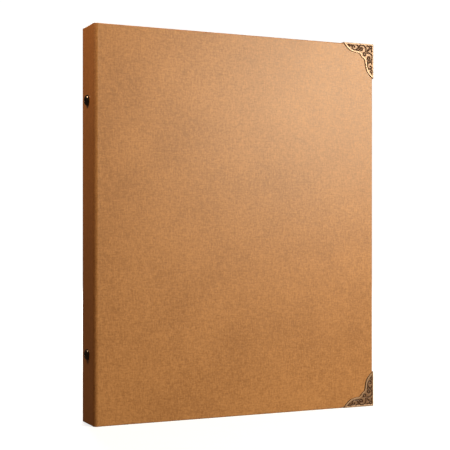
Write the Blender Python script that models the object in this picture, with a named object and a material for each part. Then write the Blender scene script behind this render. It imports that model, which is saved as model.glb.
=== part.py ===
"""A kraft-covered scrapbook album, standing upright and shut.

It is a four-ring binder: two boards and a spine wrapped in kraft paper, paper hinges at
both long edges of the spine, pressed metal corners, and a ring mechanism that two rivets
hold to the spine. Fourteen scored card leaves hang on the rings.

Everything is drawn in album coordinates: x runs from the outside of the spine to the
fore edge, y from the front cover (-y) to the back cover (+y), z up from the table.
"""
import math

import bmesh
import bpy
from mathutils import Matrix, Vector
from mathutils.geometry import interpolate_bezier

MM = 0.001

# the closed album
HEIGHT = 315 * MM
WIDTH = 254 * MM
THICKNESS = 32 * MM
GAP = 0.3 * MM

# covers: board between an outer wrap and an inner liner, glued at the gaps
COVER = 3.0 * MM
PAPER = 0.3 * MM
TURN_IN = 4.0 * MM
EDGE_RADIUS = 3.6 * MM
HINGE_INSET = 0.8 * MM
STRIP_THICKNESS = 0.6 * MM
STRIP_STEPS = 8

# pressed metal corners
CORNER_LEG = 30 * MM
CORNER_WAIST = 12.6 * MM
CORNER_CUSP = 12.7 * MM
CORNER_METAL = 0.5 * MM
CORNER_PROUD = CORNER_METAL + GAP
CORNER_INNER_LEG = 19 * MM

# ring mechanism
RING_BORE = 16 * MM
WIRE = 2.5 * MM
RING_PITCH = 80 * MM
RING_COUNT = 4
RING_TIP_GAP = 0.4 * MM
RING_SET = 2.2 * MM
RING_FOOT_ANGLE = math.radians(150)
RING_STEPS = 12
WIRE_SIDES = 10
RAIL_LENGTH = 279 * MM
RAIL_WIDTH = 15 * MM
RAIL_HEIGHT = 5.5 * MM
RAIL_METAL = 0.7 * MM
RAIL_LIP = 1.0 * MM
RAIL_SHOULDER = 3.6 * MM
SHOULDER_STEPS = 6
SLOT_LENGTH = 3.7 * MM
SLOT_INNER = 3.7 * MM
BLADE_METAL = 0.8 * MM
BLADE_RISE = 1.1 * MM
BLADE_PLAY = 0.45 * MM
BLADE_END_GAP = 0.4 * MM
LEVER_PIVOT_RISE = 2.7 * MM
LEVER_REACH = 11.5 * MM
LEVER_LIFT = 3.9 * MM
LEVER_WIDTH = 10.4 * MM
LEVER_METAL = 1.1 * MM
LEVER_TIP = 1.5 * MM
LEVER_INSET = 1.6 * MM
LEVER_BARREL = 1.1 * MM
TONGUE_WIDTH = 3.0 * MM
TONGUE_REACH = 2.3 * MM
PIN = 1.1 * MM

# rivets through the spine
RIVET_SPACING = 201 * MM
RIVET_DROP = 2 * MM
RIVET_HEAD = 8.8 * MM
RIVET_HEAD_HEIGHT = 2.0 * MM
RIVET_SHANK = 4.0 * MM
RIVET_BORE = 2.8 * MM
RIVET_INNER_HEAD = 6.4 * MM
RIVET_HOLE = RIVET_SHANK + 2 * GAP

# leaves: a punched margin, a score, and an A4 face
LEAF_COUNT = 14
LEAF_PITCH = 0.95 * MM
LEAF = 0.5 * MM
LEAF_FACE = 210 * MM
LEAF_HEIGHT = 297 * MM
LEAF_MARGIN = 24 * MM
SCORE_GAP = 0.35 * MM
HOLE = 6.5 * MM
HOLE_TO_EDGE = 12 * MM
HOLE_EASE = 0.3 * MM
HOLE_SIDES = 16

ROUND_SIDES = 24

# worked out from the above
HALF = THICKNESS / 2
MIDDLE = HEIGHT / 2
RING_RADIUS = (RING_BORE + WIRE) / 2
RAIL_FOOT = COVER + GAP
RAIL_TOP = RAIL_FOOT + RAIL_HEIGHT
BLADE_LOW = RAIL_FOOT + BLADE_RISE
BLADE_PIVOT_X = BLADE_LOW + BLADE_METAL / 2
BLADE_PIVOT_Y = RAIL_WIDTH / 2 - RAIL_METAL - BLADE_PLAY
RING_CENTRE_X = RAIL_FOOT + RING_SET + RING_RADIUS
LEVER_PIVOT_X = RAIL_FOOT + LEVER_PIVOT_RISE
RAIL_ENDS = (MIDDLE - RAIL_LENGTH / 2, MIDDLE + RAIL_LENGTH / 2)
RING_HEIGHTS = [MIDDLE + (n - (RING_COUNT - 1) / 2) * RING_PITCH for n in range(RING_COUNT)]
RIVET_HEIGHTS = [MIDDLE - RIVET_DROP + half * RIVET_SPACING / 2 for half in (-1, 1)]
RIVET_HEAD_FACE = -GAP - RIVET_HEAD_HEIGHT
ORIGIN = Vector(((RIVET_HEAD_FACE + WIDTH + CORNER_PROUD) / 2, 0, 0))


def clear_scene():
    for old in list(bpy.data.objects):
        bpy.data.objects.remove(old, do_unlink=True)


def material(name, colour, roughness, metallic=0.0):
    made = bpy.data.materials.new(name)
    made.use_nodes = True
    shader = made.node_tree.nodes["Principled BSDF"]
    shader.inputs["Base Color"].default_value = (*colour, 1.0)
    shader.inputs["Roughness"].default_value = roughness
    shader.inputs["Metallic"].default_value = metallic
    return made


def axis_empty(name, place, parent=None):
    """The album's own empty, or one on a joint's axis, placed in album coordinates."""
    made = bpy.data.objects.new(name, None)
    bpy.context.collection.objects.link(made)
    made.parent = parent
    made.location = place
    return made


def from_bmesh(name, bm, axis, finish=None):
    """An object whose mesh is in album coordinates, hung on the album or on an axis."""
    bmesh.ops.recalc_face_normals(bm, faces=bm.faces)
    mesh = bpy.data.meshes.new(name)
    bm.to_mesh(mesh)
    bm.free()
    made = bpy.data.objects.new(name, mesh)
    bpy.context.collection.objects.link(made)
    made.parent = axis
    if axis.parent:
        made.location = -axis.location
    if finish:
        mesh.materials.append(finish)
        mesh.shade_smooth()
        mesh.set_sharp_from_angle(angle=math.radians(35))
    return made


def add_box(bm, low, high):
    low, high = Vector(low), Vector(high)
    size = high - low
    place = Matrix.Translation((low + high) / 2) @ Matrix.Diagonal((*size, 1))
    bmesh.ops.create_cube(bm, size=1, matrix=place)


def add_rod(bm, centre, radius, length, axis, sides=ROUND_SIDES):
    """A round bar along x, y or z, centred on a point."""
    turn = Vector((0, 0, 1)).rotation_difference(Vector(axis)).to_matrix().to_4x4()
    place = Matrix.Translation(centre) @ turn
    bmesh.ops.create_cone(bm, cap_ends=True, segments=sides, radius1=radius, radius2=radius,
                          depth=length, matrix=place)


def add_prism(bm, points, along):
    """A flat outline, given as 3-D points, pushed along a vector."""
    face = bm.faces.new([bm.verts.new(point) for point in points])
    pushed = bmesh.ops.extrude_face_region(bm, geom=[face])
    moved = [part for part in pushed["geom"] if isinstance(part, bmesh.types.BMVert)]
    bmesh.ops.translate(bm, verts=moved, vec=along)
    return moved


def box(name, low, high, axis, finish):
    bm = bmesh.new()
    add_box(bm, low, high)
    return from_bmesh(name, bm, axis, finish)


def cut(target, name, bm):
    """Take a hidden cutter away from a piece."""
    cutter = from_bmesh(name, bm, target.parent)
    cutter.hide_render = True
    cutter.display_type = "WIRE"
    boolean = target.modifiers.new(name, "BOOLEAN")
    boolean.operation = "DIFFERENCE"
    boolean.solver = "EXACT"
    boolean.object = cutter


def side_y(side, depth):
    """y at a depth below the outer face of the front (side -1) or back (side 1) cover."""
    return side * (HALF - depth)


def span(first, second):
    return min(first, second), max(first, second)


def slab(bm, side, x_range, depths, z_range):
    """A box in one cover, its depths counted inward from the cover's outer face."""
    low_y, high_y = span(side_y(side, depths[0]), side_y(side, depths[1]))
    add_box(bm, (x_range[0], low_y, z_range[0]), (x_range[1], high_y, z_range[1]))


def cover_panel(label, side, axis, finishes):
    """Board, outer wrap with its turn-ins, and liner of one cover."""
    inner = COVER - PAPER
    bm = bmesh.new()
    slab(bm, side, (EDGE_RADIUS, WIDTH), (0, COVER), (0, HEIGHT))
    wrap = from_bmesh(f"{label}_wrap", bm, axis, finishes["kraft"])
    bm = bmesh.new()
    slab(bm, side, (EDGE_RADIUS - GAP, WIDTH - PAPER), (PAPER, inner), (PAPER, HEIGHT - PAPER))
    cut(wrap, f"{label}_board_room", bm)
    bm = bmesh.new()
    slab(bm, side, (EDGE_RADIUS - GAP, WIDTH - TURN_IN), (inner - GAP, COVER + GAP),
         (TURN_IN, HEIGHT - TURN_IN))
    cut(wrap, f"{label}_liner_window", bm)

    edge = PAPER + GAP
    bm = bmesh.new()
    slab(bm, side, (EDGE_RADIUS, WIDTH - edge), (edge, inner - GAP), (edge, HEIGHT - edge))
    board = from_bmesh(f"{label}_board", bm, axis, finishes["board"])

    # the bottom corner is let into the cover, so that the album stands flat
    for piece in (wrap, board):
        bm = bmesh.new()
        slab(bm, side, (WIDTH - CORNER_LEG - GAP, WIDTH + GAP), (-GAP, COVER + GAP),
             (-GAP, CORNER_METAL + GAP))
        cut(piece, f"{piece.name}_foot_notch", bm)

    bm = bmesh.new()
    rim = TURN_IN + GAP
    slab(bm, side, (EDGE_RADIUS, WIDTH - rim), (inner, COVER), (rim, HEIGHT - rim))
    from_bmesh(f"{label}_liner", bm, axis, finishes["liner"])


def rivet_hole_cutter():
    bm = bmesh.new()
    for height in RIVET_HEIGHTS:
        add_rod(bm, (COVER / 2, 0, height), RIVET_HOLE / 2, 2 * COVER, (1, 0, 0))
    return bm


def spine_panel(axis, finishes):
    """Board, wrap and liner of the spine, with the holes that the rivets pass through."""
    half = HALF - EDGE_RADIUS
    inner = COVER - PAPER
    edge = PAPER + GAP
    rim = TURN_IN + GAP
    wrap = box("spine_wrap", (0, -half, 0), (COVER, half, HEIGHT), axis, finishes["kraft"])
    bm = bmesh.new()
    add_box(bm, (PAPER, -half - GAP, PAPER), (inner, half + GAP, HEIGHT - PAPER))
    cut(wrap, "spine_board_room", bm)
    bm = bmesh.new()
    add_box(bm, (inner - GAP, -half - GAP, TURN_IN), (COVER + GAP, half + GAP, HEIGHT - TURN_IN))
    cut(wrap, "spine_liner_window", bm)
    board = box("spine_board", (edge, -half, edge), (inner - GAP, half, HEIGHT - edge), axis,
                finishes["board"])
    liner = box("spine_liner", (inner, -half, rim), (COVER, half, HEIGHT - rim), axis,
                finishes["liner"])
    for piece in (wrap, board, liner):
        cut(piece, f"{piece.name}_rivet_holes", rivet_hole_cutter())


def hinge_strip(label, side, axis, finish):
    """The two papers pasted together round a long edge of the spine, a quarter of a tube."""
    centre = Vector((EDGE_RADIUS, side_y(side, EDGE_RADIUS), 0))
    spare = GAP / EDGE_RADIUS
    angles = [spare + (math.pi / 2 - 2 * spare) * n / STRIP_STEPS for n in range(STRIP_STEPS + 1)]

    def arc(radius, turns):
        return [centre + radius * Vector((-math.cos(a), side * math.sin(a), 0)) for a in turns]

    outline = arc(EDGE_RADIUS, angles) + arc(EDGE_RADIUS - STRIP_THICKNESS, reversed(angles))
    bm = bmesh.new()
    add_prism(bm, outline, (0, 0, HEIGHT))
    from_bmesh(f"{label}_hinge_strip", bm, axis, finish)


def corner_outline(steps=6):
    """A pressed corner seen from the front, as (along, inward) from its outer corner.

    One leg's inner edge runs from the leg's tip to the waist, then out to a cusp on the
    diagonal; the other leg is its reflection.
    """
    tip = Vector((CORNER_LEG, 0.6 * MM))
    waist = Vector((CORNER_WAIST + 0.4 * MM, 10.2 * MM))
    bend = (Vector((CORNER_LEG - 3 * MM, 7.2 * MM)), Vector((21 * MM, 8.2 * MM)))
    leg = [point.to_2d() for point in interpolate_bezier(tip, *bend, waist, steps)]
    cusp = Vector((CORNER_CUSP, CORNER_CUSP))
    other = [Vector((point.y, point.x)) for point in reversed(leg)]
    return [Vector((CORNER_LEG, 0)), *leg, cusp, *other, Vector((0, CORNER_LEG)), Vector((0, 0))]


def metal_corner(label, side, top, axis, finish):
    """A pressed corner: a plate on each face of the cover, joined round both of its edges."""
    up = -1 if top else 1
    edge_z = HEIGHT + CORNER_PROUD if top else 0
    edge_x = WIDTH + CORNER_PROUD

    def at(along, inward, depth):
        return Vector((edge_x - along, side_y(side, depth), edge_z + up * inward))

    bm = bmesh.new()
    outline = [at(p.x, p.y, -CORNER_PROUD) for p in corner_outline()]
    add_prism(bm, outline, (0, -side * (COVER + 2 * CORNER_PROUD), 0))
    plate = from_bmesh(label, bm, axis, finish)

    room = CORNER_METAL
    far = CORNER_LEG + GAP
    bm = bmesh.new()
    low, high = at(far, far, COVER + GAP), at(room, room, -GAP)
    add_box(bm, [min(p) for p in zip(low, high)], [max(p) for p in zip(low, high)])
    cut(plate, f"{label}_room", bm)

    # the inner plate is a plain small triangle
    bm = bmesh.new()
    leg = CORNER_INNER_LEG
    corners = [(leg, 0.6 * MM), (far, 0.6 * MM), (far, far), (0.6 * MM, far), (0.6 * MM, leg)]
    outline = [at(along, inward, COVER + GAP / 2) for along, inward in corners]
    add_prism(bm, outline, (0, -side * 2 * MM, 0))
    cut(plate, f"{label}_inner_trim", bm)


def rail_outline():
    """Section of the arched rail: an open channel with its lips turned in."""
    half = RAIL_WIDTH / 2

    def arch(inset):
        """The channel's two rounded shoulders, at a depth below its outer face."""
        round_off = RAIL_SHOULDER - inset
        x, y = RAIL_TOP - RAIL_SHOULDER, RAIL_SHOULDER - half
        turns = [math.pi / 2 * n / SHOULDER_STEPS for n in range(SHOULDER_STEPS + 1)]
        left = [(x + round_off * math.sin(a), y - round_off * math.cos(a)) for a in turns]
        return left + [(x, -y) for x, y in reversed(left)]

    foot = RAIL_FOOT
    lip = half - RAIL_METAL - RAIL_LIP
    outer = arch(0)
    inner = list(reversed(arch(RAIL_METAL)))
    return [(foot, -lip), (foot, -half), *outer, (foot, half), (foot, lip),
            (foot + RAIL_METAL, lip), (foot + RAIL_METAL, half - RAIL_METAL), *inner,
            (foot + RAIL_METAL, -half + RAIL_METAL), (foot + RAIL_METAL, -lip)]


def ring_rail(axis, finish):
    bm = bmesh.new()
    low, high = RAIL_ENDS
    add_prism(bm, [(x, y, low) for x, y in rail_outline()], (0, 0, high - low))
    rail = from_bmesh("ring_rail", bm, axis, finish)

    bm = bmesh.new()
    half_slot = SLOT_LENGTH / 2
    for height in RING_HEIGHTS:
        for side in (-1, 1):
            inner, outer = span(side * SLOT_INNER, side * (RAIL_WIDTH / 2 + GAP))
            add_box(bm, (RAIL_FOOT + RAIL_METAL + GAP, inner, height - half_slot),
                    (RAIL_TOP + GAP, outer, height + half_slot))
    cut(rail, "ring_slots", bm)

    bm = bmesh.new()
    for height in RIVET_HEIGHTS:
        add_rod(bm, (RAIL_TOP, 0, height), RIVET_HOLE / 2, 4 * RAIL_METAL, (1, 0, 0))
    cut(rail, "rail_rivet_holes", bm)

    bm = bmesh.new()
    for end, out in zip(RAIL_ENDS, (-1, 1)):
        centre = (LEVER_PIVOT_X, 0, end - out * LEVER_INSET)
        add_rod(bm, centre, PIN / 2 + GAP, RAIL_WIDTH + 2 * GAP, (0, 1, 0), 16)
    cut(rail, "pin_holes", bm)


def blade(label, side, axis, finish):
    """One of the two sprung strips under the rail that carry the ring halves."""
    inner, outer = span(side * GAP, side * BLADE_PIVOT_Y)
    reach = RAIL_LENGTH / 2 - LEVER_INSET - LEVER_BARREL - BLADE_END_GAP
    low = (BLADE_LOW, inner, MIDDLE - reach)
    high = (BLADE_LOW + BLADE_METAL, outer, MIDDLE + reach)
    piece = box(f"{label}_blade", low, high, axis, finish)
    bm = bmesh.new()
    for height in RIVET_HEIGHTS:
        add_rod(bm, (BLADE_PIVOT_X, 0, height), RIVET_SHANK / 2 + 3 * GAP, 4 * MM, (1, 0, 0))
    cut(piece, f"{label}_rivet_notches", bm)


def ring_half(label, side, height, axis, finish):
    """Half of a round ring: wire from the blade, out through the rail's slot, to the tip."""
    centre = Vector((RING_CENTRE_X, 0, height))
    tip = math.asin(RING_TIP_GAP / 2 / RING_RADIUS)
    sweep = RING_FOOT_ANGLE - tip
    bm = bmesh.new()
    upright = Matrix.Rotation(math.pi / 2, 4, "X")
    wire_at = Matrix.Translation(centre + Vector((RING_RADIUS, 0, 0))) @ upright
    bmesh.ops.create_circle(bm, cap_ends=False, segments=WIRE_SIDES, radius=WIRE / 2,
                            matrix=wire_at)
    bmesh.ops.rotate(bm, verts=bm.verts, cent=centre,
                     matrix=Matrix.Rotation(side * tip, 3, "Z"))
    bmesh.ops.spin(bm, geom=bm.verts[:] + bm.edges[:], cent=centre, axis=(0, 0, side),
                   angle=sweep, steps=RING_STEPS, use_merge=False, use_duplicate=False)
    bmesh.ops.holes_fill(bm, edges=bm.edges, sides=0)
    from_bmesh(label, bm, axis, finish)


def lever(label, end, out, axis, finish):
    """The trigger at one end of the rail: barrel on a pin, a tab to press, and a tongue
    that reaches under the blades."""
    pivot = Vector((LEVER_PIVOT_X, 0, end - out * LEVER_INSET))

    def at(reach, lift, y):
        return pivot + Vector((lift, y, out * reach))

    def plate(bm, points, width):
        add_prism(bm, [at(reach, lift, -width / 2) for reach, lift in points], (0, width, 0))

    rounding = [math.radians(100 + 25 * n) for n in range(8)]
    barrel = [(LEVER_BARREL * math.cos(a), LEVER_BARREL * math.sin(a)) for a in rounding]
    tab_end = LEVER_REACH - LEVER_TIP
    under = LEVER_LIFT - LEVER_METAL
    tab = [(1.0 * MM, -0.4 * MM), (tab_end, under), (LEVER_REACH, under + 0.2 * MM),
           (LEVER_REACH, LEVER_LIFT), (tab_end, LEVER_LIFT + 0.3 * MM), (1.4 * MM, 1.2 * MM)]
    bm = bmesh.new()
    plate(bm, tab + barrel, LEVER_WIDTH)
    body = from_bmesh(label, bm, axis, finish)

    bm = bmesh.new()
    foot = RAIL_FOOT + 0.2 * MM - LEVER_PIVOT_X
    top = BLADE_LOW - 0.4 * MM - LEVER_PIVOT_X
    tongue = [(-TONGUE_REACH, foot), (0.2 * MM, foot), (0.6 * MM, -0.5 * MM),
              (-0.3 * MM, -0.5 * MM), (-0.3 * MM, top), (-TONGUE_REACH, top)]
    plate(bm, tongue, TONGUE_WIDTH)
    joined = from_bmesh(f"{label}_tongue", bm, axis)
    joined.hide_render = True
    joined.display_type = "WIRE"
    boolean = body.modifiers.new("tongue", "BOOLEAN")
    boolean.operation = "UNION"
    boolean.solver = "EXACT"
    boolean.object = joined

    bm = bmesh.new()
    add_rod(bm, pivot, PIN / 2 + GAP / 2, LEVER_WIDTH + 2 * MM, (0, 1, 0), 12)
    cut(body, f"{label}_bore", bm)


def lever_pin(label, end, out, axis, finish):
    bm = bmesh.new()
    centre = (LEVER_PIVOT_X, 0, end - out * LEVER_INSET)
    add_rod(bm, centre, PIN / 2 - GAP / 2, RAIL_WIDTH + 1.0 * MM, (0, 1, 0), 12)
    from_bmesh(label, bm, axis, finish)


def rivet(label, height, axis, finish):
    """A tubular rivet, turned about the x axis: outer head, shank, head on the rail."""
    inner_face = RAIL_TOP + GAP
    head, shank, bore = RIVET_HEAD / 2, RIVET_SHANK / 2, RIVET_BORE / 2
    small = RIVET_INNER_HEAD / 2
    profile = [
        (-GAP, shank), (-GAP, head), (-GAP - 0.5 * MM, head),
        (-GAP - 1.5 * MM, head - 0.7 * MM), (RIVET_HEAD_FACE, head - 1.8 * MM),
        (RIVET_HEAD_FACE, bore + 0.5 * MM),
        (RIVET_HEAD_FACE + 0.4 * MM, bore), (inner_face + 0.5 * MM, bore),
        (inner_face + 0.8 * MM, bore + 0.4 * MM), (inner_face + 0.8 * MM, small - 0.5 * MM),
        (inner_face + 0.3 * MM, small), (inner_face, small), (inner_face, shank),
    ]
    bm = bmesh.new()
    loop = [bm.verts.new((x, 0, height + radius)) for x, radius in profile]
    edges = [bm.edges.new(pair) for pair in zip(loop, loop[1:] + loop[:1])]
    bmesh.ops.spin(bm, geom=loop + edges, cent=(0, 0, height), axis=(1, 0, 0),
                   angle=2 * math.pi, steps=ROUND_SIDES, use_merge=True, use_duplicate=False)
    bmesh.ops.remove_doubles(bm, verts=bm.verts, dist=0.001 * MM)
    from_bmesh(label, bm, axis, finish)


def leaf_y(number):
    return (number - (LEAF_COUNT - 1) / 2) * LEAF_PITCH


def hole_x(y):
    """The leaves' holes follow the round of the rings."""
    return RING_CENTRE_X + math.sqrt(RING_RADIUS ** 2 - y ** 2) + HOLE_EASE


def punched_margin(label, y, axis, finish):
    """The strip between a leaf's inner edge and its score, punched for the four rings."""
    middle = hole_x(y)
    near = middle - HOLE_TO_EDGE
    far = near + LEAF_MARGIN - SCORE_GAP
    low, high = MIDDLE - LEAF_HEIGHT / 2, MIDDLE + LEAF_HEIGHT / 2
    bm = bmesh.new()
    rim = [bm.verts.new((x, y - LEAF / 2, z)) for x, z in
           ((near, low), (far, low), (far, high), (near, high))]
    edges = [bm.edges.new(pair) for pair in zip(rim, rim[1:] + rim[:1])]
    flat = Matrix.Rotation(math.pi / 2, 4, "X")
    for height in RING_HEIGHTS:
        place = Matrix.Translation((middle, y - LEAF / 2, height)) @ flat
        made = bmesh.ops.create_circle(bm, cap_ends=False, segments=HOLE_SIDES,
                                       radius=HOLE / 2, matrix=place)
        edges += list({edge for vert in made["verts"] for edge in vert.link_edges})
    bmesh.ops.triangle_fill(bm, edges=edges, use_beauty=True, normal=(0, -1, 0))
    pushed = bmesh.ops.extrude_face_region(bm, geom=bm.faces[:], use_keep_orig=True)
    moved = [part for part in pushed["geom"] if isinstance(part, bmesh.types.BMVert)]
    bmesh.ops.translate(bm, verts=moved, vec=(0, LEAF, 0))
    from_bmesh(label, bm, axis, finish)


def leaf_face(label, y, axis, finish):
    score = axis.location.x
    low, high = MIDDLE - LEAF_HEIGHT / 2, MIDDLE + LEAF_HEIGHT / 2
    box(label, (score + SCORE_GAP, y - LEAF / 2, low), (score + LEAF_FACE, y + LEAF / 2, high),
        axis, finish)


def covers(album, finishes):
    for label, side in (("front", -1), ("back", 1)):
        place = (HINGE_INSET, side_y(side, HINGE_INSET), MIDDLE)
        axis = axis_empty(f"{label}_cover_axis", place, album)
        cover_panel(label, side, axis, finishes)
        hinge_strip(label, side, album, finishes["kraft"])
        metal_corner(f"{label}_top_corner", side, True, axis, finishes["bronze"])
        metal_corner(f"{label}_bottom_corner", side, False, axis, finishes["bronze"])
    spine_panel(album, finishes)


def mechanism(album, finishes):
    steel = finishes["steel"]
    ring_rail(album, steel)
    for label, side in (("front", -1), ("back", 1)):
        place = (BLADE_PIVOT_X, side * BLADE_PIVOT_Y, MIDDLE)
        axis = axis_empty(f"{label}_blade_axis", place, album)
        blade(label, side, axis, steel)
        for number, height in enumerate(RING_HEIGHTS, 1):
            ring_half(f"{label}_ring_half_{number}", side, height, axis, steel)
    for label, end, out in (("bottom", RAIL_ENDS[0], -1), ("top", RAIL_ENDS[1], 1)):
        place = (LEVER_PIVOT_X, 0, end - out * LEVER_INSET)
        axis = axis_empty(f"{label}_lever_axis", place, album)
        lever(f"{label}_lever", end, out, axis, steel)
        lever_pin(f"{label}_lever_pin", end, out, album, steel)
    for label, height in zip(("bottom", "top"), RIVET_HEIGHTS):
        rivet(f"{label}_rivet", height, album, finishes["dark_steel"])


def leaves(album, finish):
    for number in range(LEAF_COUNT):
        y = leaf_y(number)
        label = f"leaf_{number + 1:02d}"
        score = hole_x(y) - HOLE_TO_EDGE + LEAF_MARGIN
        axis = axis_empty(f"{label}_axis", (score, y, MIDDLE), album)
        punched_margin(f"{label}_margin", y, album, finish)
        leaf_face(label, y, axis, finish)


def main():
    clear_scene()
    finishes = {
        "kraft": material("kraft paper", (0.50, 0.27, 0.11), 0.85),
        "liner": material("kraft liner", (0.55, 0.33, 0.16), 0.9),
        "board": material("grey board", (0.34, 0.31, 0.27), 0.95),
        "card": material("leaf card", (0.60, 0.40, 0.22), 0.9),
        "bronze": material("antique bronze", (0.23, 0.13, 0.06), 0.4, 1.0),
        "steel": material("nickel-plated steel", (0.72, 0.72, 0.70), 0.2, 1.0),
        "dark_steel": material("darkened steel", (0.06, 0.05, 0.045), 0.3, 1.0),
    }
    album = axis_empty("album", -ORIGIN)
    covers(album, finishes)
    mechanism(album, finishes)
    leaves(album, finishes["card"])


main()
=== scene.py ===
# %% [markdown]
# # A kraft scrapbook album
#
# The album is a ring binder: two boards and a spine wrapped in brown kraft paper, with
# pressed metal corners at the fore edge and two rivets that hold a ring mechanism to the
# spine. Its frame, a set of plain solids in metres with +Z up, is already designed. This
# script puts the looks on it, and never moves it. First it loads the frame.

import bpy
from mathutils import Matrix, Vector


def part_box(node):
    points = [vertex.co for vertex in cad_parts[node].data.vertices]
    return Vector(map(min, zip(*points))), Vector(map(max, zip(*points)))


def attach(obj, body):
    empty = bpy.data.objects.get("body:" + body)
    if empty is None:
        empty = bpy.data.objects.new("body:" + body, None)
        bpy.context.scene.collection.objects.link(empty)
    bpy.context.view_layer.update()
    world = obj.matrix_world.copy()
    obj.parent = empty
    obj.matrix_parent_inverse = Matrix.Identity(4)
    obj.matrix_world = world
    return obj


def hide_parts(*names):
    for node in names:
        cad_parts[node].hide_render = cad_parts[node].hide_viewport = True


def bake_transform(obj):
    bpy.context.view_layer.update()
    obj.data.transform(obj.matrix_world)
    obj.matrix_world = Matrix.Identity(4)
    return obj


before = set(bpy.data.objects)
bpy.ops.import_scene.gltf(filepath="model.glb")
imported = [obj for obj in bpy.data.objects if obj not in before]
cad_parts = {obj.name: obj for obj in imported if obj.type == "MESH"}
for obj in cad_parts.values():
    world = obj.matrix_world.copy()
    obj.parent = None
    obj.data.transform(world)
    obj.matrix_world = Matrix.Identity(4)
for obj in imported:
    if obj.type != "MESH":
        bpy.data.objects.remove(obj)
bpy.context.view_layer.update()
print("nodes in the frame:", len(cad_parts))

# %% [markdown]
# Everything below is placed from the frame's own boxes, so the album's few driving
# measures are read once. `outside` is the plane of the spine's outer face, `fore` the
# covers' fore edge, and `half` is half the album's thickness.

# %% Measure the album
import math
import random

import bmesh
import bpy
import numpy as np
from mathutils import Matrix, Vector

MM = 0.001
spine_low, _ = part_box("spine_wrap")
cover_low, cover_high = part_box("front_wrap")
outside = spine_low.x
fore = cover_high.x
half = -cover_low.y
height = cover_high.z
board_thickness = cover_high.y - cover_low.y
edge_radius = cover_low.x - outside
SIDES = (("front", -1), ("back", 1))
print(f"album {(fore - outside) / MM:.0f} x {2 * half / MM:.0f} x {height / MM:.0f} mm")

# %% [markdown]
# ## Studio
#
# The album stands on a plain pale sweep: a round floor whose rim curves up into a wall,
# so that no horizon line shows from any side. A profile of a few points is spun about the
# vertical axis. A flat plane would do from above, but it would show a hard edge here. The
# paper glows of itself, as a lit backdrop does, and a little less close to the album. It is
# left out of bounced light and of reflections: a white room fills every shadow, and brown
# paper looks washed out in it.

# %% Pale sweep
FLOOR_REACH = 3.2
FLOOR_MIDWAY = 1.2
SWEEP_RADIUS = 1.4
SWEEP_STEPS = 64
RIM_STEPS = 8
WALL_TOP = 3.4


def pale_sweep():
    bm = bmesh.new()
    turns = [math.pi / 2 * n / RIM_STEPS for n in range(RIM_STEPS + 1)]
    rim = [(FLOOR_REACH + SWEEP_RADIUS * math.sin(a), SWEEP_RADIUS - SWEEP_RADIUS * math.cos(a))
           for a in turns]
    profile = [(0, 0), (FLOOR_MIDWAY, 0), *rim, (FLOOR_REACH + SWEEP_RADIUS, WALL_TOP)]
    line = [bm.verts.new((reach, 0, rise)) for reach, rise in profile]
    edges = [bm.edges.new(pair) for pair in zip(line, line[1:])]
    bmesh.ops.spin(bm, geom=line + edges, cent=(0, 0, 0), axis=(0, 0, 1), angle=2 * math.pi,
                   steps=SWEEP_STEPS, use_merge=True, use_duplicate=False)
    bmesh.ops.remove_doubles(bm, verts=bm.verts, dist=0.001 * MM)
    bmesh.ops.recalc_face_normals(bm, faces=bm.faces)
    mesh = bpy.data.meshes.new("studio_sweep")
    bm.to_mesh(mesh)
    bm.free()
    mesh.shade_smooth()
    sweep = bpy.data.objects.new("studio_sweep", mesh)
    bpy.context.scene.collection.objects.link(sweep)
    return sweep


sweep = pale_sweep()
print("sweep faces:", len(sweep.data.polygons))

# %% Studio paper
SWEEP_GREY = (0.42, 0.42, 0.42)
NEAR, NEAR_GLOW = 0.5, 0.80
FAR, FAR_GLOW = 1.8, 1.0


def studio_paper():
    made = bpy.data.materials.new("studio paper")
    made.use_nodes = True
    tree = made.node_tree
    shader = tree.nodes["Principled BSDF"]
    shader.inputs["Base Color"].default_value = (*SWEEP_GREY, 1)
    shader.inputs["Roughness"].default_value = 0.9
    shader.inputs["Emission Color"].default_value = (1, 1, 1, 1)
    place = tree.nodes.new("ShaderNodeTexCoord").outputs["Object"]
    reach = tree.nodes.new("ShaderNodeVectorMath")
    reach.operation = "LENGTH"
    tree.links.new(place, reach.inputs[0])
    glow = tree.nodes.new("ShaderNodeMapRange")
    glow.interpolation_type = "SMOOTHSTEP"
    for socket, value in (("From Min", NEAR), ("From Max", FAR), ("To Min", NEAR_GLOW),
                          ("To Max", FAR_GLOW)):
        glow.inputs[socket].default_value = value
    tree.links.new(reach.outputs["Value"], glow.inputs["Value"])
    tree.links.new(glow.outputs["Result"], shader.inputs["Emission Strength"])
    return made


sweep.data.materials.append(studio_paper())
sweep.visible_diffuse = False
sweep.visible_glossy = False
print("the sweep glows from", NEAR_GLOW, "by the album to", FAR_GLOW, "further off")

# %% [markdown]
# ## Light and camera
#
# The key light is a small soft box in front of the cover, to its right and a little higher.
# It stands where a mirror on the cover would show it by the top corner, so it leaves a pale
# sheen on the paper there and bright metal on the corner. A larger box behind it does most
# of the lighting; it is left out of reflections, because a second sheen would spread over
# the whole cover. A small warm lamp hangs above and beside the spine and lights it from the
# top down. It doesn't light the sweep, so that the floor stays pale. The last box stands
# behind the album for the back cover, and a dim warm world keeps the shadows brown.

# %% Lights
def soft_box(name, place, aim, size, power, colour):
    """A square area light of a size in metres and a power in watts, turned towards aim."""
    light = bpy.data.lights.new(name, "AREA")
    light.shape = "SQUARE"
    light.size = size
    light.energy = power
    light.color = colour
    lamp = bpy.data.objects.new(name, light)
    bpy.context.scene.collection.objects.link(lamp)
    lamp.location = place
    lamp.rotation_euler = (Vector(aim) - Vector(place)).to_track_quat("-Z", "Y").to_euler()
    return lamp


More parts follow.
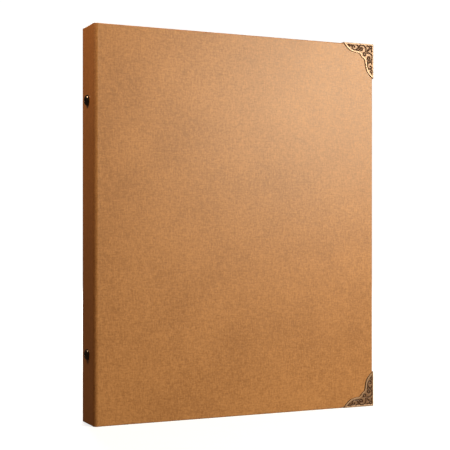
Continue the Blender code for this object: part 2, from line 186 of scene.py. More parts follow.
def keep_off(lamp, staging):
    """The lamp doesn't light the staging."""
    spared = bpy.data.collections.new(f"{lamp.name} spares")
    spared.objects.link(staging)
    lamp.light_linking.receiver_collection = spared
    spared.collection_objects[0].light_linking.link_state = "EXCLUDE"


album_middle = Vector((0, 0, height / 2))
upper_spine = Vector((-0.12, 0, 0.25))
soft_box("key_light", (0.58, -0.80, 0.42), album_middle, 0.36, 3.9, (1.0, 1.0, 0.82))
fill = soft_box("front_light", (0.62, -1.00, 0.50), album_middle, 0.6, 16.8, (1.0, 0.97, 0.78))
fill.visible_glossy = False
spine_lamp = soft_box("spine_light", (-0.37, 0.0, 0.61), upper_spine, 0.16, 1.85, (1.0, 0.70, 0.42))
keep_off(spine_lamp, sweep)
soft_box("back_light", (0.5, 1.5, 1.1), album_middle, 0.9, 42, (1.0, 0.97, 0.86))

world = bpy.data.worlds.new("studio")
bpy.context.scene.world = world
world.use_nodes = True
room = world.node_tree.nodes["Background"]
room.inputs["Color"].default_value = (1.0, 0.62, 0.36, 1)
room.inputs["Strength"].default_value = 0.07
bpy.context.scene.view_settings.view_transform = "Standard"
lamps = [thing.name for thing in bpy.context.scene.objects if thing.type == "LIGHT"]
print("lights:", *lamps)

# %% [markdown]
# The camera stands level at about the album's mid height, to the left of it, so the spine
# shows as a narrow strip. Tilting it would make the uprights lean together, so a small lens
# shift places the picture instead.

# %% Camera
CAMERA_PLACE = Vector((outside - 0.26525, -0.8356, 0.1522))
CAMERA_YAW = math.radians(24.73)
LENS = 88
LENS_SHIFT = 0.0147

camera = bpy.data.objects.new("camera", bpy.data.cameras.new("camera"))
bpy.context.scene.collection.objects.link(camera)
camera.location = CAMERA_PLACE
camera.rotation_euler = (math.pi / 2, 0, -CAMERA_YAW)
camera.data.lens = LENS
camera.data.sensor_width = 36
camera.data.shift_y = LENS_SHIFT
camera.data.clip_start = 0.05
bpy.context.scene.camera = camera
print("camera stands", round((CAMERA_PLACE - album_middle).length, 2), "m from the album")

# %% [markdown]
# ## Kraft paper
#
# Kraft is unbleached wood pulp. Close up it is a felt of fibres: a fine mottle, faint
# short streaks, a few dark specks of bark, and a slow cloudiness across the sheet. Each
# is a noise of its own size, and together they slide the colour between two browns. The
# patterns read Object coordinates. Every piece has its place in its mesh, so one sheet
# runs on from the cover over the hinge to the spine with no break.

# %% Node helpers
def new_material(name):
    made = bpy.data.materials.new(name)
    made.use_nodes = True
    tree = made.node_tree
    return made, tree, tree.nodes["Principled BSDF"]


def add_node(tree, kind, inputs=None, **settings):
    """A node whose inputs are each linked, if given an output, or set, if given a value."""
    node = tree.nodes.new(kind)
    for setting, value in settings.items():
        setattr(node, setting, value)
    for socket, value in (inputs or {}).items():
        if isinstance(value, bpy.types.NodeSocket):
            tree.links.new(value, node.inputs[socket])
        else:
            node.inputs[socket].default_value = value
    return node


print("node helpers: new_material, add_node")


# %% Patterns
def object_coordinates(tree, stretch=(1, 1, 1), turn=(0, 0, 0)):
    place = add_node(tree, "ShaderNodeTexCoord").outputs["Object"]
    mapping = add_node(tree, "ShaderNodeMapping",
                       {"Vector": place, "Scale": stretch, "Rotation": turn})
    return mapping.outputs["Vector"]


def noise(tree, grain, detail=2.0, stretch=(1, 1, 1), turn=(0, 0, 0)):
    """A noise whose blotches are about grain metres across."""
    where = object_coordinates(tree, stretch, turn)
    node = add_node(tree, "ShaderNodeTexNoise",
                    {"Vector": where, "Scale": 1 / grain, "Detail": detail})
    return node.outputs["Fac"]


print("pattern helpers: object_coordinates, noise")


# %% Sums, colours and roughness
def calculate(tree, operation, first, second=0.0):
    return add_node(tree, "ShaderNodeMath", {0: first, 1: second}, operation=operation).outputs[0]


def weighted_sum(tree, parts, start=0.5):
    """start plus each noise's swing about its middle, times its weight."""
    total = start
    for weight, value in parts:
        swing = calculate(tree, "MULTIPLY", calculate(tree, "SUBTRACT", value, 0.5), weight)
        total = calculate(tree, "ADD", swing, total)
    return total


def colour_ramp(tree, factor, stops):
    ramp = add_node(tree, "ShaderNodeValToRGB", {"Fac": factor})
    bars = ramp.color_ramp.elements
    while len(bars) < len(stops):
        bars.new(0.5)
    for bar, (position, colour) in zip(bars, stops):
        bar.position = position
        bar.color = (*colour, 1)
    return ramp.outputs["Color"]


def rescale(tree, value, low, high, value_low=0.0, value_high=1.0):
    """The value moved from its own range to low..high, and held inside it."""
    node = add_node(tree, "ShaderNodeMapRange",
                    {"Value": value, "From Min": value_low, "From Max": value_high,
                     "To Min": low, "To Max": high})
    return node.outputs["Result"]


def roughen(tree, shader, height, strength, depth):
    """Tilts the surface as if it rose by the height pattern, up to depth metres."""
    raised = add_node(tree, "ShaderNodeBump",
                      {"Height": height, "Strength": strength, "Distance": depth})
    tree.links.new(raised.outputs["Normal"], shader.inputs["Normal"])


print("sum and colour helpers: calculate, weighted_sum, colour_ramp, rescale, roughen")

# %% Kraft finish
SPECK_CELL = 4 * MM
SPECK_RARITY = 0.93
SPECK_REACH = 0.1
BARK_BROWN = (0.10, 0.05, 0.022, 1)
PAPER_DEPTH = 0.12 * MM
GLOSS_SWING = 0.06


def bark_specks(tree, paper_colour, speck):
    """Dark flecks: the paper is cut into cells, and few cells have one at their heart."""
    where = object_coordinates(tree)
    cells = add_node(tree, "ShaderNodeTexVoronoi", {"Vector": where, "Scale": 1 / SPECK_CELL})
    split = add_node(tree, "ShaderNodeSeparateColor", {"Color": cells.outputs["Color"]})
    few = calculate(tree, "GREATER_THAN", split.outputs["Red"], SPECK_RARITY)
    small = calculate(tree, "LESS_THAN", cells.outputs["Distance"], SPECK_REACH)
    fleck = calculate(tree, "MULTIPLY", calculate(tree, "MULTIPLY", few, small), speck)
    # A Mix node's colours are its sockets 6 and 7, and the mixed colour its output 2.
    bark = add_node(tree, "ShaderNodeMix", {0: fleck, 6: paper_colour, 7: BARK_BROWN},
                    data_type="RGBA")
    return bark.outputs[2]


def kraft_paper(name, dark, light, roughness, sheen=0.4, speck=0.35, bump=0.35):
    made, tree, shader = new_material(name)
    cloud = noise(tree, 45 * MM, 3.0)
    mottle = noise(tree, 1.5 * MM, 3.0)
    pulp = noise(tree, 0.5 * MM, 2.0)
    streaks = noise(tree, 0.8 * MM, 1.0, stretch=(1, 1, 0.16), turn=(0.2, 0.3, 0))
    cross = noise(tree, 0.8 * MM, 1.0, stretch=(0.16, 0.5, 1), turn=(0.1, -0.35, 0.2))
    tone = weighted_sum(tree, [(0.6, cloud), (1.15, mottle), (0.63, pulp), (0.67, streaks),
                               (0.67, cross)])
    colour = colour_ramp(tree, tone, [(0.15, dark), (0.85, light)])
    tree.links.new(bark_specks(tree, colour, speck), shader.inputs["Base Color"])
    grain = weighted_sum(tree, [(0.6, mottle), (0.5, pulp), (0.5, streaks), (0.5, cross)])
    roughen(tree, shader, grain, bump, PAPER_DEPTH)
    gloss = rescale(tree, mottle, roughness - GLOSS_SWING, roughness + GLOSS_SWING)
    tree.links.new(gloss, shader.inputs["Roughness"])
    shader.inputs["Specular IOR Level"].default_value = sheen
    return made


KRAFT = kraft_paper("kraft cover paper", (0.300, 0.119, 0.034), (0.480, 0.209, 0.069), 0.42,
                    sheen=0.85)
LINER = kraft_paper("kraft liner paper", (0.46, 0.27, 0.13), (0.66, 0.42, 0.23), 0.7, speck=0.2)
CARD = kraft_paper("kraft leaf card", (0.50, 0.31, 0.16), (0.72, 0.49, 0.29), 0.78,
                   speck=0.25, bump=0.5)
BOARD = kraft_paper("grey binder board", (0.25, 0.23, 0.20), (0.40, 0.37, 0.33), 0.9,
                    speck=0.6, bump=0.8)
print("paper finishes:", KRAFT.name, LINER.name, CARD.name, BOARD.name)

# %% [markdown]
# ## Metals
#
# Three metal finishes are on the album. The rail, rings and levers are nickel-plated steel,
# bright with a fine brushed line. The rivets are steel too; their dark colours are a painted
# reflection of the dark surroundings their heads show. The corners are stamped brass with an
# antique finish: the whole stamping is darkened, the high spots are rubbed bright again, and
# a clear lacquer goes over all of it. A vertex attribute called relief, 0 in the hollows and
# 1 on the crests, tells the finish which is which, so the patina stays where the stamping
# puts it; by the plate's inner edge it is also pulled down to paint a shadow line. Patina
# isn't bare metal, so even the crests are only partly metallic, and the lacquer's coat
# carries the rest of the shine.

# %% Metal finishes
def antique_brass():
    made, tree, shader = new_material("antique brass")
    # Besides the stamping's hollows, relief holds a painted shadow line: it is pulled down along
    # the plate's inner edge.
    relief = add_node(tree, "ShaderNodeAttribute", attribute_name="relief").outputs["Fac"]
    blotch = noise(tree, 2.2 * MM, 3.0)
    fine = noise(tree, 0.35 * MM, 2.0)
    rubbed = weighted_sum(tree, [(0.22, blotch), (0.14, fine)], start=0.0)
    level = calculate(tree, "ADD", relief, rubbed)
    stops = [(0.05, (0.036, 0.012, 0.005)), (0.42, (0.105, 0.042, 0.018)),
             (0.74, (0.29, 0.145, 0.075)), (0.98, (0.56, 0.335, 0.205))]
    tree.links.new(colour_ramp(tree, level, stops), shader.inputs["Base Color"])
    metal = rescale(tree, level, 0.20, 0.58, value_low=0.1, value_high=0.8)
    tree.links.new(metal, shader.inputs["Metallic"])
    gloss = rescale(tree, level, 0.60, 0.44, value_low=0.1, value_high=0.9)
    tree.links.new(gloss, shader.inputs["Roughness"])
    roughen(tree, shader, fine, 0.15, 0.05 * MM)
    shader.inputs["Coat Weight"].default_value = 0.5
    shader.inputs["Coat Roughness"].default_value = 0.36
    shader.inputs["Coat IOR"].default_value = 1.6
    return made


def plated_steel(name, dark, light, roughness, metallic):
    made, tree, shader = new_material(name)
    brushed = noise(tree, 0.25 * MM, 2.0, stretch=(1, 1, 0.03))
    breath = noise(tree, 14 * MM, 2.0)
    tone = weighted_sum(tree, [(0.5, brushed), (0.6, breath)])
    colour = colour_ramp(tree, tone, [(0.2, dark), (0.8, light)])
    tree.links.new(colour, shader.inputs["Base Color"])
    gloss = rescale(tree, tone, roughness - 0.07, roughness + 0.09)
    tree.links.new(gloss, shader.inputs["Roughness"])
    roughen(tree, shader, brushed, 0.08, 0.02 * MM)
    shader.inputs["Metallic"].default_value = metallic
    return made


BRASS = antique_brass()
NICKEL = plated_steel("nickel-plated steel", (0.66, 0.67, 0.67), (0.88, 0.88, 0.87), 0.26, 0.45)
# The rivet steel's dark colours are a painted reflection: they stand in for the dark surroundings
# that the rivet heads reflect.
RIVET_STEEL_PAINTED_DARK = plated_steel("rivet steel painted dark", (0.05, 0.042, 0.036), (0.20, 0.18, 0.16),
                           0.2, 1.0)
print("metals:", BRASS.name, NICKEL.name, RIVET_STEEL_PAINTED_DARK.name)

# %% [markdown]
# ## From a bmesh to a piece
#
# Every piece ends the same way: its bmesh becomes a mesh, it takes a finish, and it takes
# the place of the plain solid that it stands for; where it is given a body of the frame, it
# rides on it. Rounded edges are shaded smooth. Left alone, that would also tilt the shading of
# the broad flat face next to a narrow rounding, so a Weighted Normal modifier lets the larger face
# decide.

# %% Finish a piece
def make_piece(name, bm, finish, body=None, stands_for=(), crisp=38):
    mesh = bpy.data.meshes.new(name)
    bm.to_mesh(mesh)
    bm.free()
    mesh.materials.append(finish)
    mesh.shade_smooth()
    mesh.set_sharp_from_angle(angle=math.radians(crisp))
    piece = bpy.data.objects.new(name, mesh)
    bpy.context.scene.collection.objects.link(piece)
    even = piece.modifiers.new("large faces shade flat", "WEIGHTED_NORMAL")
    even.keep_sharp = True
    if body:
        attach(piece, body)
    if stands_for:
        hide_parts(*stands_for)
    return piece


def carry_over(node, finish):
    """A node of the frame that is right as it is takes a finish and stays."""
    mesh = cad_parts[node].data
    mesh.materials.clear()
    mesh.materials.append(finish)


def merged_copy(node):
    """A node's loose triangles, merged into clean flat faces, as a bmesh."""
    bm = bmesh.new()
    bm.from_mesh(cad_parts[node].data)
    bmesh.ops.remove_doubles(bm, verts=bm.verts, dist=0.002 * MM)
    bmesh.ops.dissolve_limit(bm, angle_limit=math.radians(1), verts=bm.verts, edges=bm.edges)
    return bm


# %% Edges
def round_edges(bm, edges, radius, segments):
    bmesh.ops.bevel(bm, geom=edges, offset=radius, offset_type="OFFSET", segments=segments,
                    profile=0.5, affect="EDGES", clamp_overlap=True, material=-1)


def sharp_edges(bm, degrees=50):
    limit = math.radians(degrees)
    return [e for e in bm.edges if len(e.link_faces) == 2 and e.calc_face_angle(0) > limit]


print("edge helpers: round_edges, sharp_edges")

# %% [markdown]
# ## Covers and spine
#
# A cover is a board with paper wrapped round it and turned in by a few millimetres. The
# paper can't follow a sharp edge, so every outer edge of the wrap is rounded by its own
# thickness and a little more. The wraps are merged copies of the frame's shells, because
# the rounding is all that they lack. At the hinge the edge is only broken, which leaves
# the fine crease where the board ends.

# %% Wraps
WRAP_ROUND = 0.75 * MM
CREASE = 0.16 * MM


def on_plane(edge, axis, value, spare=0.02 * MM):
    return all(abs(vert.co[axis] - value) < spare for vert in edge.verts)


def cover_wrap(label, side):
    bm = merged_copy(f"{label}_wrap")
    faces_out = (side * half, side * (half - board_thickness))
    edges = sharp_edges(bm)
    outer = [e for e in edges
             if on_plane(e, 0, fore) or on_plane(e, 2, 0) or on_plane(e, 2, height)]
    outer = [e for e in outer if any(on_plane(e, 1, y) for y in faces_out)
             or (on_plane(e, 0, fore) and on_plane(e, 2, height))]
    round_edges(bm, outer, WRAP_ROUND, 4)
    at_hinge = [e for e in sharp_edges(bm) if on_plane(e, 0, outside + edge_radius)]
    round_edges(bm, [e for e in at_hinge if on_plane(e, 1, side * half)], CREASE, 2)
    return make_piece(f"{label}_cover_wrap", bm, KRAFT, f"{label}_cover",
                      [f"{label}_wrap"])


def spine_wrap():
    bm = merged_copy("spine_wrap")
    ends = [e for e in sharp_edges(bm) if on_plane(e, 0, outside)
            and (on_plane(e, 2, 0) or on_plane(e, 2, height))]
    round_edges(bm, ends, WRAP_ROUND, 4)
    return make_piece("album_spine_wrap", bm, KRAFT, "spine", ["spine_wrap"])


for label, side in SIDES:
    wrap = cover_wrap(label, side)
    print(wrap.name, len(wrap.data.polygons), "faces")
    carry_over(f"{label}_board", BOARD)
    carry_over(f"{label}_liner", LINER)
print(spine_wrap().name)
carry_over("spine_board", BOARD)
carry_over("spine_liner", LINER)

# %% [markdown]
# ## Paper hinges
#
# Between spine and cover there is no board, only the two papers pasted together, so the
# album opens there. Shut, the papers go round the corner in a quarter circle. The strip
# is a vertical line spun about the middle of that circle and given a thickness. It
# crosses the joint, and it is not attached to the spine or the cover.

# %% Hinge strips
STRIP_THICKNESS = 0.6 * MM
STRIP_STEPS = 16
STRIP_EASE = 0.2 * MM


def hinge_paper(label, side):
    middle = Vector((outside + edge_radius, side * (half - edge_radius), 0))
    start = middle + Vector((-edge_radius, 0, 0))
    bm = bmesh.new()
    line = [bm.verts.new(start + Vector((0, 0, z))) for z in (0, height)]
    edge = bm.edges.new(line)
    bmesh.ops.spin(bm, geom=[*line, edge], cent=middle, axis=(0, 0, -side), angle=math.pi / 2,
                   steps=STRIP_STEPS, use_merge=False, use_duplicate=False)
    bmesh.ops.recalc_face_normals(bm, faces=bm.faces)
    out = bm.faces[:][0]
    if out.normal.dot(out.calc_center_median() - middle) < 0:
        bmesh.ops.reverse_faces(bm, faces=bm.faces)
    bmesh.ops.solidify(bm, geom=bm.faces[:], thickness=STRIP_THICKNESS)
    bmesh.ops.recalc_face_normals(bm, faces=bm.faces)
    ends = [e for e in sharp_edges(bm) if on_plane(e, 2, 0) or on_plane(e, 2, height)]
    ends = [e for e in ends if abs(e.verts[0].co.z - e.verts[1].co.z) < MM]
    round_edges(bm, ends, STRIP_EASE, 2)
    lips = [e for e in sharp_edges(bm) if on_plane(e, 0, middle.x) and on_plane(e, 1, side * half)]
    round_edges(bm, lips, CREASE, 2)
    strip = make_piece(f"{label}_hinge_paper", bm, KRAFT,
                       stands_for=[f"{label}_hinge_strip"])
    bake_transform(strip)
    return strip


for label, side in SIDES:
    print(hinge_paper(label, side).name)

# %% [markdown]
# ## Pressed metal corners
#
# The corners carry most of the ornament: a thin brass sheet is stamped with scrollwork
# inside a smooth rim, then folded over the cover's edges. Stamped sheet is one height per
# place, so it is made as a grid laid over the plate and lifted by a height rule. Scrolls
# are spirals whose radius shrinks along their turn, and a soft valley is sunk along each
# line. Places on the plate are (along, inward) from the outer corner, in millimetres, and
# one leg is the other's reflection.

# %% Outline of the plate
LEG = 30.0
OUTLINE = [(11.9, 11.9), (12.55, 11.0), (12.9, 10.1), (13.9, 9.2), (15.6, 8.65), (18.2, 8.3),
           (20.8, 7.75), (23.2, 6.95), (25.6, 5.3), (27.9, 3.1), (29.6, 0.75)]


def inner_edge(share):
    """The plate's inner edge, from the diagonal (share 0) to the leg's tip (share 1).

    It is a smooth curve through the outline's points, a Catmull-Rom spline.
    """
    spot = share * (len(OUTLINE) - 1)
    start = min(int(spot), len(OUTLINE) - 2)
    points = [Vector(OUTLINE[max(0, min(n, len(OUTLINE) - 1))])
              for n in range(start - 1, start + 3)]
    if start == 0:
        points[0] = Vector(OUTLINE[1]).yx
    t = spot - start
    before, first, second, after = points
    return 0.5 * (2 * first + (second - before) * t
                  + (2 * before - 5 * first + 4 * second - after) * t * t
                  + (3 * first - before - 3 * second + after) * t ** 3)


print("plate reaches", LEG, "mm along each edge")


# %% Scrolls, drops and beads
def spiral(centre, reach, heart, start, turn, ease, wide, steps=44):
    """Line of a scroll, as rows of (along, inward, half width)."""
    rows = []
    for n in range(steps + 1):
        share = n / steps
        radius = heart + (reach - heart) * (1 - share) ** ease
        angle = math.radians(start + turn * share)
        width = wide[0] + (wide[1] - wide[0]) * share
        along = centre[0] + radius * math.cos(angle)
        inward = centre[1] + radius * math.sin(angle)
        rows.append((along, inward, width))
    return rows


def ring(centre, radius, wide):
    return spiral(centre, radius, radius, 0, 360, 1, (wide, wide), 24)


def drop(start, end, wide):
    return [(*start, wide[0]), (*end, wide[1])]


ONE_LEG = [
    spiral((12.4, 4.6), 5.0, 0.75, 152, 560, 2.3, (0.42, 0.50)),
    spiral((20.0, 3.3), 4.6, 0.7, 190, -400, 2.2, (0.42, 0.44)),
    drop((4.4, 2.3), (6.4, 1.9), (0.30, 0.50)),
    drop((15.9, 2.2), (17.6, 1.8), (0.50, 0.30)),
    drop((15.2, 6.3), (17.4, 6.0), (0.45, 0.30)),
    spiral((24.3, 2.4), 1.9, 0.6, 170, 330, 2.0, (0.42, 0.40)),
    drop((26.3, 1.9), (27.6, 1.5), (0.42, 0.30)),
]
ON_DIAGONAL = [
    ring((2.9, 2.9), 1.15, 0.42),
    drop((4.7, 4.7), (6.6, 6.6), (0.62, 0.36)),
    ring((9.3, 9.3), 1.25, 0.40),
]
print("lines on a plate:", 2 * len(ONE_LEG) + len(ON_DIAGONAL))

# %% [markdown]
# A smooth rim with no line in it follows the inner edge, and a border follows the two outer
# ones. Both stand at the crest. The field inside them lies a little lower, and each line
# cuts its valley from there down to the floor. At the outer edge the sheet rolls over in a
# quarter circle. At the inner edge it drops steeply to the paper, so it throws a crisp
# shadow there. That step is also given the dark colour of the hollows, a painted shadow
# line along the inner edge.

# %% Height rule
STAMP_FLOOR = 0.34
STAMP_CREST = 0.80
RIM_WIDTH = 1.55
BORDER_WIDTH = 1.0
EASE = 0.35
FIELD_DIP = 0.20
RIM_LANDING = 0.34
LIP_HEIGHT = 0.05
# The next two numbers paint a shadow line: they darken the step at the plate's inner edge.
LIP_SHADE_START = 1.3
LIP_PAINTED_SHADE = 1.9
FOLD_RADIUS = 0.45


def valley_depth(places, rows):
    """Soft valley along a line, 0 to 1, at each of the places (a numpy array)."""
    best = np.zeros(len(places))
    line = np.array(rows)
    for start, end in zip(line[:-1], line[1:]):
        way = end[:2] - start[:2]
        share = np.clip(((places - start[:2]) @ way) / max(way @ way, 1e-12), 0, 1)
        gap = np.linalg.norm(places - start[:2] - share[:, None] * way, axis=1)
        width = start[2] + (end[2] - start[2]) * share
        best = np.maximum(best, np.exp(-(gap / width) ** 2))
    return best


def relief_at(places, to_rim, to_edge):
    """Height of the stamping, 0 in its hollows and 1 on its crests."""
    mirrored = places[:, ::-1]
    valley = np.zeros(len(places))
    for rows in ONE_LEG:
        valley = np.maximum(valley, valley_depth(places, rows))
        valley = np.maximum(valley, valley_depth(mirrored, rows))
    for rows in ON_DIAGONAL:
        valley = np.maximum(valley, valley_depth(places, rows))
    inside_rim = np.clip((to_rim - RIM_WIDTH) / EASE, 0, 1)
    inside_border = np.clip((to_edge - BORDER_WIDTH) / EASE, 0, 1)
    field = np.minimum(inside_rim, inside_border)
    return 1 - field * (FIELD_DIP + (1 - FIELD_DIP) * valley)


print("stamping rises from", STAMP_FLOOR, "to", STAMP_CREST, "mm")

# %% Stamped corner
COLUMNS = 288
ROWS = 60
ROW_CROWDING = 1.25
EDGE_STEPS = 200
FAR_AWAY = 1e9


def plate_place(column, row):
    """Place on the plate of a grid point, column -1 to 1 and row 0 to 1."""
    share = abs(column)
    outer = Vector((LEG * share, 0))
    place = outer.lerp(inner_edge(share), row ** ROW_CROWDING)
    return place if column >= 0 else place.yx


def distance_to_rim(places):
    """How far each place is from the plate's inner edge, on both legs."""
    one_leg = np.array([inner_edge(n / EDGE_STEPS)[:] for n in range(EDGE_STEPS + 1)])
    line = np.vstack([one_leg[:0:-1, ::-1], one_leg])
    nearest = np.full(len(places), FAR_AWAY)
    for start, end in zip(line[:-1], line[1:]):
        way = end - start
        share = np.clip(((places - start) @ way) / (way @ way), 0, 1)
        gap = np.linalg.norm(places - start - share[:, None] * way, axis=1)
        nearest = np.minimum(nearest, gap)
    return nearest


def stamped_face():
    bm = bmesh.new()
    bmesh.ops.create_grid(bm, x_segments=COLUMNS, y_segments=ROWS, size=1)
    relief_and_lip_shade_layer = bm.verts.layers.float.new("relief")
    grid = [(vert.co.x, (vert.co.y + 1) / 2) for vert in bm.verts]
    places = np.array([plate_place(column, row)[:] for column, row in grid])
    last_row = np.array([row > 0.9999 for _, row in grid])
    to_rim = distance_to_rim(places)
    to_rim[last_row] = 0
    to_edge = places.min(axis=1)
    relief = relief_at(places, to_rim, to_edge)
    height_mm = STAMP_FLOOR + (STAMP_CREST - STAMP_FLOOR) * relief
    fold = np.clip(1 - to_edge / FOLD_RADIUS, 0, 1)
    height_mm -= FOLD_RADIUS * (1 - np.sqrt(1 - fold ** 2))
    landing = np.clip(1 - to_rim / RIM_LANDING, 0, 1)
    dropped = landing ** 3
    height_mm = height_mm * (1 - dropped) + LIP_HEIGHT * dropped
    # The step at the inner edge is darkened too: painted shade for the shadow line there.
    relief *= np.clip(LIP_SHADE_START - LIP_PAINTED_SHADE * landing, 0, 1)
    for vert, place, up, level in zip(bm.verts, places, height_mm, relief):
        vert.co = (place[0], place[1], up)
        vert[relief_and_lip_shade_layer] = level
    return bm, relief_and_lip_shade_layer


print("stamped grid:", COLUMNS, "by", ROWS, "squares")

# %% [markdown]
# The stamped face is open at its two outer edges. They are extruded four times: down the
# cover's edge, twice round the lower fold, and then across the inside of the cover as a
# small plain triangle. The sheet then gets its thickness, and the corner is moved, and
# mirrored where it has to be, to its place on the cover.

# %% Folded corner
INNER_LEG = 19.0
INNER_TIP = 0.6
WALL = board_thickness / MM + 2 * STAMP_CREST
FOLD_STEP = 0.3 * FOLD_RADIUS
FOLD_TONE = 0.8
SHEET = 0.22


def fold_over(bm, relief_and_lip_shade_layer):
    """The outer border goes down the cover's edges and on to a small plain inner plate."""
    border = [e for e in bm.edges if e.is_boundary and all(min(v.co.xy) < 1e-6 for v in e.verts)]
    inside = STAMP_CREST - WALL
    steps = [(0, inside + FOLD_RADIUS), (FOLD_STEP, inside + FOLD_STEP), (FOLD_RADIUS, inside),
             (None, inside)]
    for inward, depth in steps:
        made = bmesh.ops.extrude_edge_only(bm, edges=border)["geom"]
        fresh = {part for part in made if isinstance(part, bmesh.types.BMVert)}
        made_edges = [part for part in made if isinstance(part, bmesh.types.BMEdge)]
        border = [edge for edge in made_edges if fresh.issuperset(edge.verts)]
        for vert in fresh:
            along, first_leg = max(vert.co.xy), vert.co.x >= vert.co.y
            if inward is None:
                across = max(INNER_TIP, (INNER_LEG - along) / 2)
                along = max(along, (INNER_LEG + along) / 2)
            else:
                across = inward
                along = max(along, inward)
            vert.co = (along, across, depth) if first_leg else (across, along, depth)
            vert[relief_and_lip_shade_layer] = FOLD_TONE


def corner_on_cover(label, side, top):
    end = "top" if top else "bottom"
    bm, relief_and_lip_shade_layer = stamped_face()
    fold_over(bm, relief_and_lip_shade_layer)
    bmesh.ops.recalc_face_normals(bm, faces=bm.faces)
    face = max(bm.faces, key=lambda f: f.calc_center_median().z)
    if face.normal.z < 0:
        bmesh.ops.reverse_faces(bm, faces=bm.faces)
    bmesh.ops.solidify(bm, geom=bm.faces[:], thickness=SHEET)
    low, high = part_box(f"{label}_{end}_corner")
    edge_z = high.z if top else low.z
    up = -1 if top else 1
    place = Matrix(((-MM, 0, 0, high.x), (0, 0, side * MM, side * half),
                    (0, up * MM, 0, edge_z), (0, 0, 0, 1)))
    bmesh.ops.transform(bm, matrix=place, verts=bm.verts)
    if place.determinant() < 0:
        bmesh.ops.reverse_faces(bm, faces=bm.faces)
    return make_piece(f"{label}_{end}_filigree", bm, BRASS, f"{label}_cover",
                      [f"{label}_{end}_corner"], crisp=60)


for label, side in SIDES:
    for top in (True, False):
        corner = corner_on_cover(label, side, top)
        print(corner.name, len(corner.data.polygons), "faces")

# %% [markdown]
# ## Rivets
#
# A tubular rivet goes through spine and rail. Outside it shows a low domed head with a
# hole down its middle; inside, a smaller rolled lip holds the rail. It is a turned part,
# so its section is spun once round its own axis.

# %% Rivets
RIVET_SEGMENTS = 56
DOME_STEPS = 6
LIP_STEPS = 8
BORE = 1.4 * MM
SHANK = 2.0 * MM
MOUTH = 0.5 * MM
MOUTH_BREAK = 0.15 * MM
LIP_RADIUS = 3.2 * MM
LIP_DEPTH = 0.8 * MM


def turned_rivet(end):
    low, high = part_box(f"{end}_rivet")
    centre = (low + high) / 2
    head = (high.z - low.z) / 2
    seat = outside - 0.02 * MM
    crown = low.x - seat
    face = BORE + MOUTH
    quarter = [math.pi / 2 * n / DOME_STEPS for n in range(DOME_STEPS + 1)]
    dome = [(seat + crown * math.sin(a), face + (head - face) * math.cos(a)) for a in quarter]
    mouth = [(low.x + MOUTH_BREAK, BORE + MOUTH_BREAK), (low.x + MOUTH, BORE)]
    lip = high.x - LIP_DEPTH
    middle, reach = (BORE + LIP_RADIUS) / 2, (LIP_RADIUS - BORE) / 2
    half_turn = [math.pi * n / LIP_STEPS for n in range(LIP_STEPS + 1)]
    rolled = [(lip + LIP_DEPTH * math.sin(a), middle - reach * math.cos(a)) for a in half_turn]
    section = [*dome, *mouth, *rolled, (lip, SHANK), (seat, SHANK)]
    bm = bmesh.new()
    loop = [bm.verts.new((x, centre.y, centre.z + radius)) for x, radius in section]
    edges = [bm.edges.new(pair) for pair in zip(loop, loop[1:] + loop[:1])]
    bmesh.ops.spin(bm, geom=loop + edges, cent=centre, axis=(1, 0, 0), angle=2 * math.pi,
                   steps=RIVET_SEGMENTS, use_merge=True, use_duplicate=False)
    bmesh.ops.remove_doubles(bm, verts=bm.verts, dist=0.002 * MM)
    bmesh.ops.recalc_face_normals(bm, faces=bm.faces)
    return make_piece(f"{end}_spine_rivet", bm, RIVET_STEEL_PAINTED_DARK, "spine",
                      [f"{end}_rivet"], crisp=45)


for end in ("bottom", "top"):
    print(turned_rivet(end).name)

# %% [markdown]
# ## Ring mechanism
#
# The rail is a sprung arch of sheet steel. Two blades lie under it, each with four ring
# halves, and a lever at either end tips the blades apart. The rail and levers are right
# in shape, so they only get their sharp edges broken. The rings need a rounder wire: a
# circle is spun about the ring's middle, and its end is rounded where the halves meet.

# %% Rail, levers and blades
RAIL_EASE = 0.12 * MM
LEVER_EASE = 0.22 * MM


def eased_copy(node, name, body, finish, radius):
    bm = merged_copy(node)
    round_edges(bm, sharp_edges(bm, 40), radius, 2)
    return make_piece(name, bm, finish, body, [node])


eased_copy("ring_rail", "arched_rail", "spine", NICKEL, RAIL_EASE)
for end in ("bottom", "top"):
    eased_copy(f"{end}_lever", f"{end}_trigger", f"{end}_lever", NICKEL, LEVER_EASE)
    carry_over(f"{end}_lever_pin", NICKEL)
for label, _ in SIDES:
    carry_over(f"{label}_blade", NICKEL)
print("rail and levers eased")

# %% Ring halves
RINGS = range(1, 5)
WIRE = 2.5 * MM
RING_SWEEP = math.radians(150)
RING_TIP_GAP = 0.4 * MM
RING_TIP_EASE = 0.3 * MM
WIRE_SIDES = 22
RING_STEPS = 44


def ring_half(label, side, number):
    low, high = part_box(f"{label}_ring_half_{number}")
    radius = max(abs(low.y), abs(high.y)) - WIRE / 2
    centre = Vector((high.x - WIRE / 2 - radius, 0, (low.z + high.z) / 2))
    tip = math.asin(RING_TIP_GAP / 2 / radius)
    bm = bmesh.new()
    upright = Matrix.Rotation(math.pi / 2, 4, "X")
    start = Matrix.Translation(centre + Vector((radius, 0, 0))) @ upright
    bmesh.ops.create_circle(bm, cap_ends=False, segments=WIRE_SIDES, radius=WIRE / 2, matrix=start)
    bmesh.ops.rotate(bm, verts=bm.verts, cent=centre, matrix=Matrix.Rotation(side * tip, 3, "Z"))
    bmesh.ops.spin(bm, geom=bm.verts[:] + bm.edges[:], cent=centre, axis=(0, 0, side),
                   angle=RING_SWEEP - tip, steps=RING_STEPS, use_merge=False, use_duplicate=False)
    bmesh.ops.holes_fill(bm, edges=bm.edges, sides=0)
    bmesh.ops.recalc_face_normals(bm, faces=bm.faces)
    round_edges(bm, sharp_edges(bm, 60), RING_TIP_EASE, 3)
    return make_piece(f"{label}_ring_{number}", bm, NICKEL, f"{label}_blade",
                      [f"{label}_ring_half_{number}"])


for label, side in SIDES:
    for number in RINGS:
        ring_half(label, side, number)
print("ring halves:", len(SIDES) * len(RINGS))
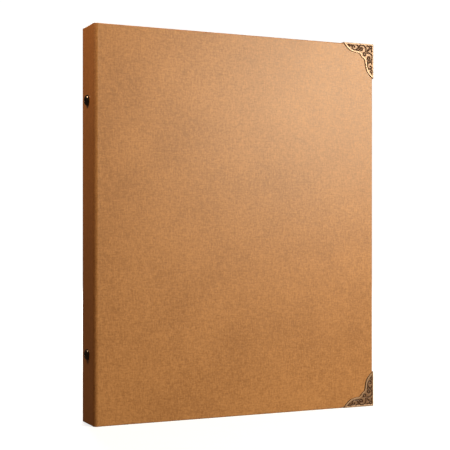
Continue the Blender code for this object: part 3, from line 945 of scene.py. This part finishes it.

# %% [markdown]
# ## Leaves
#
# Fourteen leaves of kraft card hang on the rings. Each is one sheet, punched four times
# near its inner edge and scored beside the holes so that it turns easily. The frame holds
# a leaf as two plain solids either side of the score; here it is one sheet, cut into narrow
# strips across the score. Hand-cut card is never quite even, so each leaf is trimmed a hair
# differently.

# %% Punched leaves
LEAVES = 14
HOLE_SIDES = 32
HOLE = 6.5 * MM
HOLE_INSET = 12 * MM
BEND = 1.3 * MM
BEND_CUTS = 9
TRIM = 0.35 * MM
trimming = random.Random(7)


def punched_sheet(low, high, heights):
    """The leaf's outline and holes, filled on its front face."""
    bm = bmesh.new()
    rim = [bm.verts.new(corner) for corner in ((low.x, low.y, low.z), (high.x, low.y, low.z),
                                              (high.x, low.y, high.z), (low.x, low.y, high.z))]
    edges = [bm.edges.new(pair) for pair in zip(rim, rim[1:] + rim[:1])]
    flat = Matrix.Rotation(math.pi / 2, 4, "X")
    for z in heights:
        place = Matrix.Translation((low.x + HOLE_INSET, low.y, z)) @ flat
        made = bmesh.ops.create_circle(bm, cap_ends=False, segments=HOLE_SIDES, radius=HOLE / 2,
                                       matrix=place)
        edges += list({edge for vert in made["verts"] for edge in vert.link_edges})
    bmesh.ops.triangle_fill(bm, edges=edges, use_beauty=True, normal=(0, -1, 0))
    return bm


def card_leaf(number):
    label = f"leaf_{number:02d}"
    low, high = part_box(f"{label}_margin")
    face_low, face_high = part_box(label)
    score = (high.x + face_low.x) / 2
    fore_trim, top_trim, foot_trim = [TRIM * trimming.random() for _ in range(3)]
    high = Vector((face_high.x - fore_trim, high.y, high.z - top_trim))
    low = Vector((low.x, low.y, low.z + foot_trim))
    heights = [sum(end.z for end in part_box(f"front_ring_half_{n}")) / 2 for n in RINGS]
    bm = punched_sheet(low, high, heights)
    for n in range(BEND_CUTS):
        cut_at = (score + BEND * (2 * n / (BEND_CUTS - 1) - 1), 0, 0)
        bmesh.ops.bisect_plane(bm, geom=bm.verts[:] + bm.edges[:] + bm.faces[:], plane_co=cut_at,
                               plane_no=(1, 0, 0), dist=0.001 * MM)
    pushed = bmesh.ops.extrude_face_region(bm, geom=bm.faces[:], use_keep_orig=True)
    moved = [part for part in pushed["geom"] if isinstance(part, bmesh.types.BMVert)]
    bmesh.ops.translate(bm, verts=moved, vec=(0, high.y - low.y, 0))
    bmesh.ops.recalc_face_normals(bm, faces=bm.faces)
    leaf = make_piece(f"{label}_card", bm, CARD, stands_for=[label, f"{label}_margin"])
    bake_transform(leaf)
    return leaf


for number in range(1, LEAVES + 1):
    leaf = card_leaf(number)
print("last leaf:", leaf.name, len(leaf.data.polygons), "faces")
